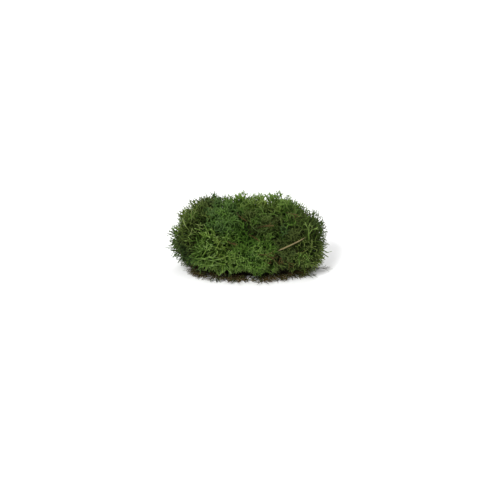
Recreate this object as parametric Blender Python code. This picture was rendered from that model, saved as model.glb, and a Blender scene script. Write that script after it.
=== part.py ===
"""A clump of reindeer lichen ("reindeer moss") resting on a table.

Rounded heads of forked stalks are pressed together on a mat of their own dead stems, and one dry pine
needle is caught in the front. Metres, +Z up, the viewer on the -Y side. The origin is the middle of the
flat underside.
"""
import math
import random
from collections import namedtuple

import bmesh
import bpy
from mathutils import Matrix, Vector

MM = 0.001

# The mat of dead stems: a low dome, with loose stems round its foot that the heads stand above.
MAT_HALF_WIDTH = 32 * MM
MAT_HALF_DEPTH = 12.5 * MM
MAT_HEIGHT = 9 * MM
MAT_PLACE = Vector((0, 2 * MM, 0))
MAT_SEGMENTS = 28
MAT_RINGS = 10
FOOT_HEIGHT = 4.8 * MM
SEAM = 0.3 * MM  # between a head and each of its neighbours
SEED = 11

# A head is a ball of stalks round its place, and its stalks reach this far from it. They come from a line
# along the middle of the clump, so each head's core is an egg that starts near that line.
SPINE_SHARE = 0.65  # how far along the clump a head's stalks start, as a share of how far along it lies
SPINE_BACK = 5 * MM
SPINE_HEIGHT = 6 * MM
CORE_DEPTH = 0.75  # how far the core goes in towards that line, as a share of the way
CORE_FRONT = 0.36  # how far it comes out past the head's place, and its radius, as shares of the reach
CORE_RADIUS = 0.52
ROOT_SINK = 2.0 * MM  # how deep a stalk starts inside the core
MOST_BEND = 3.5 * MM  # a fork that would have to bend further than this is left out
TIP_MARGINS = (0.1 * MM, 0.5 * MM)  # how far a tip stays inside its room, least and most

# A habit: the stalks on a whole ball, the radii of a stem, its crown and its forks, and their spread.
Habit = namedtuple("Habit", "stalks stem crown fork spread")
COARSE = Habit(stalks=20, stem=0.85 * MM, crown=1.15 * MM, fork=0.85 * MM, spread=math.radians(50))
OPEN = Habit(stalks=22, stem=0.70 * MM, crown=1.00 * MM, fork=0.70 * MM, spread=math.radians(48))
FINE = Habit(stalks=26, stem=0.65 * MM, crown=0.90 * MM, fork=0.65 * MM, spread=math.radians(46))
FIRST_CROWN = 0.66  # shares of the reach at which a stalk forks for the first and the second time
SECOND_CROWN = 0.84
LEAN_OF_THE_OPEN = 0.3  # cosine of the widest lean from the way a head faces at which a stalk forks twice
FORK_SPREADS = (0.8, 1.15)  # a first and a last fork's spread, as shares of the habit's, least and most
TIP_SPREADS = (0.7, 1.1)

Colour = namedtuple("Colour", "name rgb roughness")
BRIGHT_GREEN = Colour("bright_green_lichen", (0.13, 0.22, 0.035), 0.85)
MID_GREEN = Colour("mid_green_lichen", (0.075, 0.16, 0.03), 0.85)
OLIVE_GREEN = Colour("olive_green_lichen", (0.10, 0.14, 0.04), 0.88)
DARK_GREEN = Colour("dark_green_lichen", (0.04, 0.085, 0.02), 0.9)
DEAD_BROWN = Colour("dead_brown_stems", (0.06, 0.04, 0.018), 0.92)
NEEDLE_TAN = Colour("dry_needle_tan", (0.32, 0.18, 0.08), 0.6)

Head = namedtuple("Head", "name place reach habit colour")
HEADS = [
    Head("head_front_left", (-23, -12, 17), 16, COARSE, BRIGHT_GREEN),
    Head("head_front_middle", (0, -14, 16), 16.5, FINE, MID_GREEN),
    Head("head_front_hollow", (19, -8, 16), 14.5, FINE, DARK_GREEN),
    Head("head_front_right", (35, -9, 15), 14, OPEN, OLIVE_GREEN),
    Head("head_left_foot", (-40, 1, 15), 13, OPEN, DARK_GREEN),
    Head("head_left_shoulder", (-35, 1, 29), 13.5, OPEN, OLIVE_GREEN),
    Head("head_middle_left", (-18, -4, 31), 13.5, FINE, MID_GREEN),
    Head("head_middle", (6, -3, 28), 13.5, FINE, DARK_GREEN),
    Head("head_middle_right", (29, -3, 29), 13.5, COARSE, MID_GREEN),
    Head("head_top_left", (-26, 15, 32), 13, FINE, DARK_GREEN),
    Head("head_top_middle", (-5, 12, 33), 13.5, FINE, BRIGHT_GREEN),
    Head("head_top_right", (17, 12, 33), 13.5, FINE, BRIGHT_GREEN),
    Head("head_right_shoulder", (37, 12, 22), 13.5, OPEN, DARK_GREEN),
    Head("head_back_left", (-31, 18, 17), 15, OPEN, MID_GREEN),
    Head("head_back_middle", (-7, 21, 18), 15.5, COARSE, MID_GREEN),
    Head("head_back_right", (17, 21, 18), 15.5, FINE, OLIVE_GREEN),
]
HEADS = [head._replace(place=Vector(head.place) * MM, reach=head.reach * MM) for head in HEADS]

# Loose dead stems lie out from the foot of the mat all round, in rows under the heads, and fork once.
FOOT_ROWS = (1.0 * MM, 2.3 * MM, 3.6 * MM)
FOOT_STEMS_IN_ROW = 20
FOOT_REACH = 17 * MM
FOOT_FORK = 0.55  # share of that reach at which a stem forks
FOOT_SINK = 3.5 * MM
FOOT_SWAY = 3.5 * MM  # how far a stem's fork lies to the side at most, and about how far its tips spread
FOOT_SPREADS = (0.5, 1.2)
FOOT_REACHES = (0.65, 1.0)
FOOT_STRAY = 0.2  # how far a stem strays along its row, as a share of the distance to the next
FOOT_STEM_RADIUS = 0.6 * MM
FOOT_CROWN_RADIUS = 0.75 * MM

# The needle lies across the front, from low over the hollow to high on the middle right head.
NEEDLE_LOW_END = Vector((16.8, -21.0, 20.9)) * MM
NEEDLE_HIGH_END = Vector((34.5, -15.0, 27.8)) * MM
NEEDLE_SAG = 0.4 * MM
NEEDLE_RADIUS = 0.55 * MM
NEEDLE_LOW_END_SHARE = 0.3  # the radius at each end, as a share of the middle's
NEEDLE_HIGH_END_SHARE = 0.7
NEEDLE_TAPER = 1.4  # how fast the radius grows from an end, in shares of it per share of the length
NEEDLE_POINTS = 9
NEEDLE_CLEARANCE = 0.3 * MM  # between the needle and the tips that it lies on
CLEARANCE_STEPS = 40  # places along the needle and a stem at which the clearance is measured

Plane = namedtuple("Plane", "point normal")  # the normal points out of the room
ON_PLANE = 0.001 * MM  # a point this close to a cutting plane counts as on it
HAIR = 0.01  # share by which a moved point passes the clearance that it is then tested for


def clear_scene():
    for old in list(bpy.data.objects):
        bpy.data.objects.remove(old)


def material_of(colour):
    """The Principled material for a colour, made once."""
    found = bpy.data.materials.get(colour.name)
    if found:
        return found
    made = bpy.data.materials.new(colour.name)
    made.use_nodes = True
    made.diffuse_color = (*colour.rgb, 1)
    shader = made.node_tree.nodes["Principled BSDF"]
    shader.inputs["Base Color"].default_value = (*colour.rgb, 1)
    shader.inputs["Roughness"].default_value = colour.roughness
    shader.inputs["Metallic"].default_value = 0
    return made


def object_from(bm, name, collection):
    mesh = bpy.data.meshes.new(name)
    bm.to_mesh(mesh)
    bm.free()
    made = bpy.data.objects.new(name, mesh)
    collection.objects.link(made)
    return made


def start_stalk(root, crown, root_radius, crown_radius, turn):
    """A closed three-sided stem from root to crown: its mesh, and the face at its crown."""
    along = crown - root
    middle = Matrix.Translation((root + crown) / 2)
    aim = along.to_track_quat("Z", "Y").to_matrix().to_4x4()
    bm = bmesh.new()
    bmesh.ops.create_cone(
        bm,
        cap_ends=True,
        segments=3,
        radius1=root_radius,
        radius2=crown_radius,
        depth=along.length,
        matrix=middle @ aim @ Matrix.Rotation(turn, 4, "Z"),
    )
    return bm, max(bm.faces, key=lambda face: face.calc_center_median().dot(along))


def fork_faces(bm, face):
    """Pokes the face at a crown, for the faces that its forks grow from and the way each of them faces."""
    crown = face.calc_center_median()
    faces = bmesh.ops.poke(bm, faces=[face])["faces"]
    return [(fork, (fork.calc_center_median() - crown).normalized()) for fork in faces]


def draw_out_branch(bm, face, crown, way, radius):
    """Extrudes a face to a new crown, squared up to the branch's way, and returns it."""
    end = bmesh.ops.extrude_discrete_faces(bm, faces=[face])["faces"][0]
    across = end.verts[0].co - end.calc_center_median()
    across = (across - way * across.dot(way)).normalized()
    for step, vert in enumerate(end.verts):
        vert.co = crown + Matrix.Rotation(math.tau * step / 3, 3, way) @ across * radius
    return end


def draw_out_tip(bm, face, tip):
    """Extrudes a face to a point."""
    end = bmesh.ops.extrude_discrete_faces(bm, faces=[face])["faces"][0]
    bmesh.ops.pointmerge(bm, verts=end.verts[:], merge_co=tip)


def even_directions(count, turn):
    """Directions spread evenly over the whole ball, on a spiral from top to bottom."""
    golden = math.pi * (3 - math.sqrt(5))
    for step in range(count):
        height = 1 - 2 * (step + 0.5) / count
        ring = math.sqrt(1 - height * height)
        angle = golden * step + turn
        yield Vector((ring * math.cos(angle), ring * math.sin(angle), height))


def dome_plane(head):
    """The plane that touches the mat's dome under a head, a seam above it."""
    sizes = Vector((MAT_HALF_WIDTH, MAT_HALF_DEPTH, MAT_HEIGHT))
    way = head.place - MAT_PLACE
    scaled = Vector(w / size for w, size in zip(way, sizes))
    touch = way / scaled.length
    upward = Vector(t / size**2 for t, size in zip(touch, sizes)).normalized()
    return Plane(MAT_PLACE + touch + upward * SEAM, -upward)


def room_of(head):
    """The planes that keep a head off its neighbours, off the mat's dome and above its loose foot."""
    planes = [Plane(Vector((0, 0, FOOT_HEIGHT)), Vector((0, 0, -1))), dome_plane(head)]
    for other in HEADS:
        if other is head:
            continue
        across = other.place - head.place
        apart = across.length
        share = (apart**2 + head.reach**2 - other.reach**2) / (2 * apart)
        normal = across / apart
        planes.append(Plane(head.place + normal * (share - SEAM / 2), normal))
    return planes


def bent_clear(point, planes, margin):
    """The point moved inside every plane by margin, or None where that bends it too far."""
    moved = point.copy()
    for plane in planes:
        over = (moved - plane.point).dot(plane.normal) + margin
        if over > 0:
            moved -= plane.normal * over
    inside = all((moved - plane.point).dot(plane.normal) < 0 for plane in planes)
    return moved if inside and (moved - point).length <= MOST_BEND else None


def point_on_needle(share):
    """The needle's centre line, a straight line that sags a little in its middle."""
    sag = Vector((0, 0, -NEEDLE_SAG * 4 * share * (1 - share)))
    return NEEDLE_LOW_END.lerp(NEEDLE_HIGH_END, share) + sag


ALONG = [step / CLEARANCE_STEPS for step in range(CLEARANCE_STEPS + 1)]
NEEDLE_LINE = [point_on_needle(share) for share in ALONG]


def from_needle(point):
    """The way from the needle's centre line to a point, at its nearest."""
    return min((point - on_needle for on_needle in NEEDLE_LINE), key=lambda way: way.length)


def clear_of_needle(start, end, start_radius, end_radius):
    """Whether a stem from start to end, with these radii, passes the needle without touching it."""
    for share in ALONG:
        radius = start_radius + (end_radius - start_radius) * share
        if from_needle(start.lerp(end, share)).length < NEEDLE_RADIUS + NEEDLE_CLEARANCE + radius:
            return False
    return True


def pushed_off_needle(point):
    """The point, moved straight away from the needle to just over its clearance where it is nearer."""
    way = from_needle(point)
    short = NEEDLE_RADIUS + NEEDLE_CLEARANCE * (1 + HAIR) - way.length
    return point + way.normalized() * short if short > 0 else point


def spine_near(head):
    """Where a head's stalks come from, on the line along the middle of the clump."""
    return Vector((head.place.x * SPINE_SHARE, SPINE_BACK, SPINE_HEIGHT))


def outwards_of(head):
    """The way a head faces, out of the line along the middle of the clump that its stalks come from."""
    return (head.place - spine_near(head)).normalized()


def core_egg(head):
    """Stretches a ball of radius 1 from the line along the clump out to behind the head's tips."""
    inwards = spine_near(head) - head.place
    inner_end = head.place + inwards * CORE_DEPTH
    outer_end = head.place - inwards.normalized() * head.reach * CORE_FRONT
    turned = inwards.to_track_quat("Z", "Y").to_matrix().to_4x4()
    radius = head.reach * CORE_RADIUS
    half_length = (outer_end - inner_end).length / 2
    stretched = Matrix.Diagonal((radius, radius, half_length, 1))
    return Matrix.Translation((inner_end + outer_end) / 2) @ turned @ stretched


def core_of(head, planes, collection):
    """The packed inside of a head: its egg, cut flat where it meets its neighbours."""
    bm = bmesh.new()
    bmesh.ops.create_icosphere(bm, subdivisions=2, radius=1, matrix=core_egg(head))
    for plane in planes:
        everything = bm.verts[:] + bm.edges[:] + bm.faces[:]
        bmesh.ops.bisect_plane(
            bm,
            geom=everything,
            dist=ON_PLANE,
            plane_co=plane.point,
            plane_no=plane.normal,
            clear_outer=True,
        )
        rim = [edge for edge in bm.edges if edge.is_boundary]
        bmesh.ops.holes_fill(bm, edges=rim, sides=0)
    bmesh.ops.recalc_face_normals(bm, faces=bm.faces)
    return object_from(bm, head.name, collection)


def core_surface_along(head, direction):
    """How far the core's egg reaches from the head's place in this direction."""
    to_ball = core_egg(head).inverted()
    start = to_ball @ head.place
    way = to_ball.to_3x3() @ direction
    lean = start.dot(way) / way.length_squared
    return -lean + math.sqrt(lean**2 + (1 - start.length_squared) / way.length_squared)


def reach_ball(start, way, place, radius):
    """Where a line from start along way meets the ball round place."""
    from_place = start - place
    lean = way.dot(from_place)
    return start + way * (-lean + math.sqrt(lean**2 + radius**2 - from_place.length_squared))


def branch_end(crown, way, head, planes):
    """Where a branch from crown ends in its own crown, or None where it can't go."""
    radius = head.habit.fork
    end = bent_clear(reach_ball(crown, way, head.place, head.reach * SECOND_CROWN), planes, radius)
    return end if end is not None and clear_of_needle(crown, end, radius, radius) else None


def tip_end(crown, way, head, planes, margin):
    """Where a tip from crown ends at the head's full reach, or None where it can't go."""
    end = pushed_off_needle(reach_ball(crown, way, head.place, head.reach))
    end = bent_clear(end, planes, margin)
    return end if end is not None and clear_of_needle(crown, end, head.habit.fork, 0) else None


def draw_out_tips(bm, face, start, way, head, planes, draw):
    """Forks the face at start in three and draws each fork out to the head's full reach."""
    for fork, outward in fork_faces(bm, face):
        spread = head.habit.spread * draw.uniform(*TIP_SPREADS)
        tip_way = way * math.cos(spread) + outward * math.sin(spread)
        tip = tip_end(start, tip_way, head, planes, draw.uniform(*TIP_MARGINS))
        if tip is not None:
            draw_out_tip(bm, fork, tip)


def grow_stalk(head, direction, planes, draw, collection):
    """A stem out of the core that forks in three, and out in the open each of its forks forks again."""
    habit = head.habit
    surface = core_surface_along(head, direction)
    in_the_open = direction.dot(outwards_of(head)) > LEAN_OF_THE_OPEN
    share = FIRST_CROWN if in_the_open else SECOND_CROWN
    crown = bent_clear(head.place + direction * head.reach * share, planes, habit.crown)
    root = bent_clear(head.place + direction * (surface - ROOT_SINK), planes, habit.stem)
    if crown is None or root is None or not clear_of_needle(root, crown, habit.stem, habit.crown):
        return
    axis = (crown - root).normalized()
    bm, top = start_stalk(root, crown, habit.stem, habit.crown, draw.uniform(0, math.tau))
    if in_the_open:
        for face, outward in fork_faces(bm, top):
            spread = habit.spread * draw.uniform(*FORK_SPREADS)
            way = axis * math.cos(spread) + outward * math.sin(spread)
            second = branch_end(crown, way, head, planes)
            if second is not None:
                way = (second - crown).normalized()
                branch = draw_out_branch(bm, face, second, way, habit.fork)
                draw_out_tips(bm, branch, second, way, head, planes, draw)
    else:
        draw_out_tips(bm, top, crown, axis, head, planes, draw)
    object_from(bm, "stalk", collection)


def shells_of(bm):
    """The faces of each connected skin in a mesh."""
    unseen = set(bm.faces)
    shells = []
    while unseen:
        shell = [unseen.pop()]
        for face in shell:
            near = {other for edge in face.edges for other in edge.link_faces} & unseen
            unseen -= near
            shell += near
        shells.append(shell)
    return shells


def keep_outer_skin(mesh):
    """Fills a hollow that the stems have sealed and drops a loose scrap: each is a skin of its own."""
    bm = bmesh.new()
    bm.from_mesh(mesh)
    largest_first = sorted(shells_of(bm), key=len, reverse=True)
    for shell in largest_first[1:]:
        bmesh.ops.delete(bm, geom=shell, context="FACES")
    bm.to_mesh(mesh)
    bm.free()


def join_into(body, helpers):
    """Fuses a collection of stems into the body that they grow from, then removes them."""
    union = body.modifiers.new("grown_together", "BOOLEAN")
    union.operation = "UNION"
    union.operand_type = "COLLECTION"
    union.collection = helpers
    union.solver = "MANIFOLD"
    graph = bpy.context.evaluated_depsgraph_get()
    joined = bpy.data.meshes.new_from_object(body.evaluated_get(graph))
    keep_outer_skin(joined)
    body.modifiers.clear()
    body.data = joined
    for stem in list(helpers.objects):
        bpy.data.objects.remove(stem)
    bpy.data.collections.remove(helpers)


def helper_collection(name):
    helpers = bpy.data.collections.new(name + "_stems")
    bpy.context.scene.collection.children.link(helpers)
    return helpers


def finish(body, colour):
    body.data.materials.clear()
    body.data.materials.append(material_of(colour))


def make_head(head, clump):
    draw = random.Random(f"{head.name} {SEED}")
    planes = room_of(head)
    core = core_of(head, planes, clump)
    helpers = helper_collection(head.name)
    for direction in even_directions(head.habit.stalks, draw.uniform(0, math.tau)):
        grow_stalk(head, direction, planes, draw, helpers)
    join_into(core, helpers)
    finish(core, head.colour)


def make_mat(clump):
    """The low dome of matted dead stems under the heads, with its flat underside on the table."""
    draw = random.Random(SEED)
    bm = bmesh.new()
    sizes = Matrix.Diagonal((MAT_HALF_WIDTH, MAT_HALF_DEPTH, MAT_HEIGHT, 1))
    place = Matrix.Translation(MAT_PLACE) @ sizes
    bmesh.ops.create_uvsphere(bm, u_segments=MAT_SEGMENTS, v_segments=MAT_RINGS, radius=1, matrix=place)
    everything = bm.verts[:] + bm.edges[:] + bm.faces[:]
    bmesh.ops.bisect_plane(
        bm, geom=everything, dist=ON_PLANE, plane_co=(0, 0, 0), plane_no=(0, 0, -1), clear_outer=True
    )
    bmesh.ops.holes_fill(bm, edges=[edge for edge in bm.edges if edge.is_boundary], sides=0)
    mat = object_from(bm, "dead_stem_mat", clump)
    helpers = helper_collection(mat.name)
    for row, height in enumerate(FOOT_ROWS):
        for step in range(FOOT_STEMS_IN_ROW):
            place_in_row = step + row / len(FOOT_ROWS) + draw.uniform(-FOOT_STRAY, FOOT_STRAY)
            grow_foot_stem(math.tau * place_in_row / FOOT_STEMS_IN_ROW, height, draw, helpers)
    join_into(mat, helpers)
    finish(mat, DEAD_BROWN)


def grow_foot_stem(angle, height, draw, collection):
    """A dead stem that lies out from the foot of the mat and forks, under the heads and off the table."""
    wide = MAT_HALF_WIDTH * math.sqrt(1 - (height / MAT_HEIGHT) ** 2)
    deep = wide * MAT_HALF_DEPTH / MAT_HALF_WIDTH
    rim = MAT_PLACE + Vector((wide * math.cos(angle), deep * math.sin(angle), height))
    outward = Vector((math.cos(angle) / wide, math.sin(angle) / deep, 0)).normalized()
    along = Vector((-outward.y, outward.x, 0))
    reach = FOOT_REACH * draw.uniform(*FOOT_REACHES)
    root = rim - outward * FOOT_SINK
    aside = along * draw.uniform(-FOOT_SWAY, FOOT_SWAY)
    crown = rim + outward * reach * FOOT_FORK + aside
    bm, top = start_stalk(root, crown, FOOT_STEM_RADIUS, FOOT_CROWN_RADIUS, draw.uniform(0, math.tau))
    for face, across in fork_faces(bm, top):
        tip = rim + outward * reach + aside + across * FOOT_SWAY * draw.uniform(*FOOT_SPREADS)
        margin = draw.uniform(*TIP_MARGINS)
        tip.z = min(max(tip.z, margin), FOOT_HEIGHT - SEAM - margin)
        draw_out_tip(bm, face, tip)
    object_from(bm, "stem", collection)


def make_needle(clump):
    """The dry pine needle, round, thickest in its middle and drawn out at its low end."""
    curve = bpy.data.curves.new("pine_needle", "CURVE")
    curve.dimensions = "3D"
    curve.bevel_depth = NEEDLE_RADIUS
    curve.bevel_resolution = 1
    curve.use_fill_caps = True
    spline = curve.splines.new("POLY")
    spline.points.add(NEEDLE_POINTS - 1)
    for step in range(NEEDLE_POINTS):
        share = step / (NEEDLE_POINTS - 1)
        spline.points[step].co = (*point_on_needle(share), 1)
        from_low_end = NEEDLE_LOW_END_SHARE + NEEDLE_TAPER * share
        from_high_end = NEEDLE_HIGH_END_SHARE + NEEDLE_TAPER * (1 - share)
        spline.points[step].radius = min(1, from_low_end, from_high_end)
    needle = bpy.data.objects.new("pine_needle", curve)
    clump.objects.link(needle)
    curve.materials.append(material_of(NEEDLE_TAN))


def main():
    clear_scene()
    clump = bpy.data.collections.new("reindeer_lichen_clump")
    bpy.context.scene.collection.children.link(clump)
    make_mat(clump)
    for head in HEADS:
        make_head(head, clump)
    make_needle(clump)


main()
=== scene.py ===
"""The looks of a clump of reindeer lichen: forked sprigs on a dark core, a mat of dead stems and one needle.

Metres, +Z up, the viewer on the -Y side, in the frame of the solids that it loads.
"""
import math
import random
from collections import namedtuple
from itertools import combinations

import bmesh
import bpy
import numpy as np
from mathutils import Matrix, Vector
from mathutils.bvhtree import BVHTree


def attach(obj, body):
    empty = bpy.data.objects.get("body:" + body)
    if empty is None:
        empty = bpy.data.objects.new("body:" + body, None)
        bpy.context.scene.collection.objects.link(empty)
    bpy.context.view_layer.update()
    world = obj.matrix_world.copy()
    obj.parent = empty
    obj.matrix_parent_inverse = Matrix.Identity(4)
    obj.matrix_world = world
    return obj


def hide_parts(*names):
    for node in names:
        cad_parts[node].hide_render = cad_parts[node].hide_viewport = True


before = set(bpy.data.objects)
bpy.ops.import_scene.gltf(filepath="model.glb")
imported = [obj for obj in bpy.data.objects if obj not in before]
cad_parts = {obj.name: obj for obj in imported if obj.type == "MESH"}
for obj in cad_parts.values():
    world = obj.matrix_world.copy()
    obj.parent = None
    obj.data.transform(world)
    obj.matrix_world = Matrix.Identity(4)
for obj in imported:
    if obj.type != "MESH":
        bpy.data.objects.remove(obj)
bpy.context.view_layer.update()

MM = 0.001
TINT_MAP = "OFBake"  # the map that carries a sprig's tint across and its height up

# The mat of dead stems, as in the solids: a low dome, with stems lying out from its foot.
MAT_HALF_WIDTH = 32 * MM
MAT_HALF_DEPTH = 12.5 * MM
MAT_HEIGHT = 9 * MM
MAT_PLACE = Vector((0, 2 * MM, 0))
MAT_STEMS = 190
MAT_SEGMENTS = 96
MAT_LAYER = (0.1 * MM, 2.5 * MM)  # the stems lie between these heights
MAT_LIFT = 0.5  # how far up that layer the lowest point of a stem may be
MAT_STARTS = (0.6, 0.97)  # where stems start, as shares of the way from the dome's middle to its foot
MAT_STEM_SIZES = (0.9, 1.5)
MAT_FAN = 0.45  # how far stems point to the dome's ends, for how far they start towards them
MAT_STRAY = (0.6, 0.3)  # how far they stray from that, along the dome and across it
SEAM = 0.3 * MM  # how far green sprigs stay off the dome

# A kind of sprig: lengths of its stem, its forks and its tips in mm, the radii at its foot and at their ends,
# how far each fork spreads in degrees, the share of the forks that have three branches and not two, and how
# many sprigs of the kind are modelled.
Kind = namedtuple("Kind", "name lengths radii spreads threes models")
STAR = Kind("star", (2.6, 2.6, 2.3, 2.1), (0.46, 0.43, 0.39, 0.35, 0.16), (38, 50, 72), (1.0, 0.8, 0.9), 10)
NET = Kind("net", (2.6, 2.3, 2.0, 1.7), (0.42, 0.39, 0.35, 0.32, 0.15), (36, 50, 74), (1.0, 1.0, 0.9), 10)
COARSE = Kind("coarse", (3.2, 4.2, 3.8), (0.54, 0.51, 0.46, 0.21), (42, 54), (1.0, 0.6), 12)
STRAND = Kind(
    "strand", (3.4, 4.0, 3.6, 3.0), (0.44, 0.41, 0.38, 0.34, 0.16), (30, 38, 50), (0.7, 0.2, 0.4), 8
)
DEAD = Kind("dead", (4.5, 4.0, 3.4, 2.6), (0.45, 0.42, 0.36, 0.30, 0.15), (26, 34, 40), (0.3, 0.2, 0.3), 6)
ANTLER = Kind(
    "antler", (4.2, 4.0, 3.0, 1.6), (0.62, 0.58, 0.52, 0.44, 0.22), (32, 36, 34), (0.0, 0.0, 0.0), 1
)
THREAD = Kind("thread", (5.0, 4.2, 3.0), (0.36, 0.33, 0.29, 0.14), (20, 30), (0.0, 0.0), 3)
KINDS = (STAR, NET, COARSE, STRAND, DEAD, ANTLER, THREAD)
BRANCH_LEANS = (0.7, 1.25)  # how far a branch leans, for its fork's spread, least and most
BRANCH_LENGTHS = (0.7, 1.3)  # how long it is, for its kind's length

# How a sprig is tinted.
RING_WIDTH = 0.012  # how far a strand's sides lie from its middle on the tint map: across, and next upwards
RING_RISE = 0.01
MAP_RANGE = (0.001, 0.999)  # the map stays inside this
TINT_SPREAD = 0.12  # how far the tints of sprigs stray from their place's
TINT_DRIFT = 0.12  # how far the tint comes and goes over the clump
GREEN_TINTS = (0.04, 0.86)  # a living sprig's tints, least and most
DEAD_TINT = 0.96
MAT_TINTS = (0.04, 0.9)  # the mat's stems' tints, and how bright they are
MAT_GAINS = (0.7, 1.0)
DOME_TINTS = (0.3, 5)  # the dome's tint in its middle, and by how much a metre it changes along the dome
DOME_HEIGHTS = (0.1, 20, 3)  # how pale its foot is, and by how much a metre it pales upwards and sideways

# How a head grows: how far apart its sprigs' crowns stand in mm, the share of each kind, how far they lean
# from straight out, and the share of them that is dead.
Growth = namedtuple("Growth", "spacing kinds lean dead_share")
FINE_MAT = Growth(4.1, {NET: 0.8, STAR: 0.2}, 0.25, 0.0)
STAR_NET = Growth(4.4, {STAR: 0.5, NET: 0.5}, 0.35, 0.0)
COARSE_TUFT = Growth(4.5, {COARSE: 0.65, STAR: 0.35}, 0.6, 0.0)
GREY_TUFT = Growth(4.8, {COARSE: 0.6, STAR: 0.3, STRAND: 0.1}, 0.5, 0.0)
OPEN_STRANDS = Growth(5.1, {STRAND: 0.5, STAR: 0.5}, 0.6, 0.01)
HOLLOW = Growth(4.4, {NET: 0.5, STAR: 0.35, STRAND: 0.15}, 0.4, 0.0)

# The layers of sprigs: how far each ends inside the outline in mm, how much wider it is spaced, and how
# bright its sprigs are, least and most: the deeper layers are darker, as painted shade inside the clump.
Layer = namedtuple("Layer", "depth spacing gain")
LAYERS = (Layer(0.0, 1.08, (0.88, 1.02)), Layer(3.2, 1.2, (0.62, 0.76)), Layer(5.5, 1.0, (0.42, 0.55)))

# The heads of the solids: each one's node, its place and how far it reaches in mm, how it grows, its tint
# from cool to warm, and its material slot. The heads at the clump's edges and in its hollows take the dark
# slot, whose darkness is painted shade.
Head = namedtuple("Head", "node place reach growth tint slot")
HEADS = [
    Head("head_front_left", (-23, -12, 17), 16, COARSE_TUFT, 0.5, "bright_green_lichen"),
    Head("head_front_middle", (0, -14, 16), 16.5, STAR_NET, 0.6, "mid_green_lichen"),
    Head("head_front_hollow", (19, -8, 16), 14.5, HOLLOW, 0.45, "dark_green_lichen"),
    Head("head_front_right", (35, -9, 15), 14, GREY_TUFT, 0.7, "olive_green_lichen"),
    Head("head_left_foot", (-40, 1, 15), 13, GREY_TUFT, 0.15, "dark_green_lichen"),
    Head("head_left_shoulder", (-35, 1, 29), 13.5, OPEN_STRANDS, 0.5, "olive_green_lichen"),
    Head("head_middle_left", (-18, -4, 31), 13.5, FINE_MAT, 0.2, "mid_green_lichen"),
    Head("head_middle", (6, -3, 28), 13.5, HOLLOW, 0.45, "dark_green_lichen"),
    Head("head_middle_right", (29, -3, 29), 13.5, GREY_TUFT, 0.45, "dark_green_lichen"),
    Head("head_top_left", (-26, 15, 32), 13, STAR_NET, 0.4, "dark_green_lichen"),
    Head("head_top_middle", (-5, 12, 33), 13.5, FINE_MAT, 0.4, "bright_green_lichen"),
    Head("head_top_right", (17, 12, 33), 13.5, FINE_MAT, 0.45, "bright_green_lichen"),
    Head("head_right_shoulder", (37, 12, 22), 13.5, OPEN_STRANDS, 0.45, "dark_green_lichen"),
    Head("head_back_left", (-31, 18, 17), 15, STAR_NET, 0.5, "mid_green_lichen"),
    Head("head_back_middle", (-7, 21, 18), 15.5, COARSE_TUFT, 0.55, "mid_green_lichen"),
    Head("head_back_right", (17, 21, 18), 15.5, STAR_NET, 0.4, "olive_green_lichen"),
]
HEADS = [head._replace(place=Vector(head.place) * MM, reach=head.reach * MM) for head in HEADS]

# Single sprigs that stand out: the head that each belongs to, its kind and number, where the viewer in front
# sees its root and its crown (across and up, in mm), how deep its root and how proud its crown is, its spin
# in degrees, its tint, and how pale it starts.
Single = namedtuple("Single", "node kind number root crown depth proud spin tint paleness")
SINGLES = [
    Single("head_front_right", ANTLER, 0, (36.5, 18.5), (35.3, 29.8), 5.0, 1.8, 128, 0.25, 0.76),
    Single("head_left_shoulder", THREAD, 0, (-39.0, 29.0), (-35.8, 41.0), 0.5, 1.6, 20, 0.82, 0.8),
    Single("head_left_shoulder", THREAD, 1, (-36.0, 29.5), (-30.5, 27.5), 0.5, 1.6, 80, 0.82, 0.8),
    Single("head_left_shoulder", THREAD, 2, (-39.7, 25.4), (-45.5, 31.6), 0.5, 1.6, 140, 0.82, 0.78),
    Single("head_left_shoulder", THREAD, 0, (-40.0, 21.5), (-36.0, 26.5), 0.5, 1.6, 200, 0.7, 0.8),
    Single("head_left_shoulder", THREAD, 1, (-43.0, 33.0), (-41.0, 41.0), 0.5, 1.4, 260, 0.75, 0.8),
    Single("head_front_left", THREAD, 2, (-36.5, 7.5), (-21.5, 6.6), 0.5, 1.4, 30, 0.3, 0.72),
    Single("head_front_left", THREAD, 0, (-33.5, 1.8), (-20.0, 4.4), 0.5, 1.2, 150, 0.3, 0.7),
    Single("head_front_left", THREAD, 1, (-31.0, 9.0), (-25.5, 17.0), 0.5, 1.4, 100, 0.5, 0.72),
    Single("head_middle", THREAD, 1, (4.0, 27.0), (14.0, 29.5), 0.5, 1.0, 60, DEAD_TINT, 0.5),
    Single("head_front_middle", THREAD, 2, (4.0, 9.9), (16.5, 9.6), 0.5, 1.0, 0, DEAD_TINT, 0.5),
    Single("head_front_hollow", THREAD, 0, (21.0, 6.5), (27.0, 2.0), 0.5, 1.0, 90, DEAD_TINT, 0.5),
    Single("head_front_middle", THREAD, 1, (-2.0, 22.5), (5.5, 19.5), 0.5, 1.0, 45, DEAD_TINT, 0.45),
    Single("head_front_left", THREAD, 0, (-15.5, 18.5), (-9.5, 15.0), 0.5, 1.2, 10, DEAD_TINT, 0.5),
    Single("head_middle_left", THREAD, 2, (-9.5, 37.0), (-6.0, 30.5), 0.5, 0.8, 70, DEAD_TINT, 0.4),
    Single("head_middle_right", THREAD, 0, (22.0, 36.8), (31.0, 34.0), 0.5, 1.0, 120, DEAD_TINT, 0.45),
]
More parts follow.
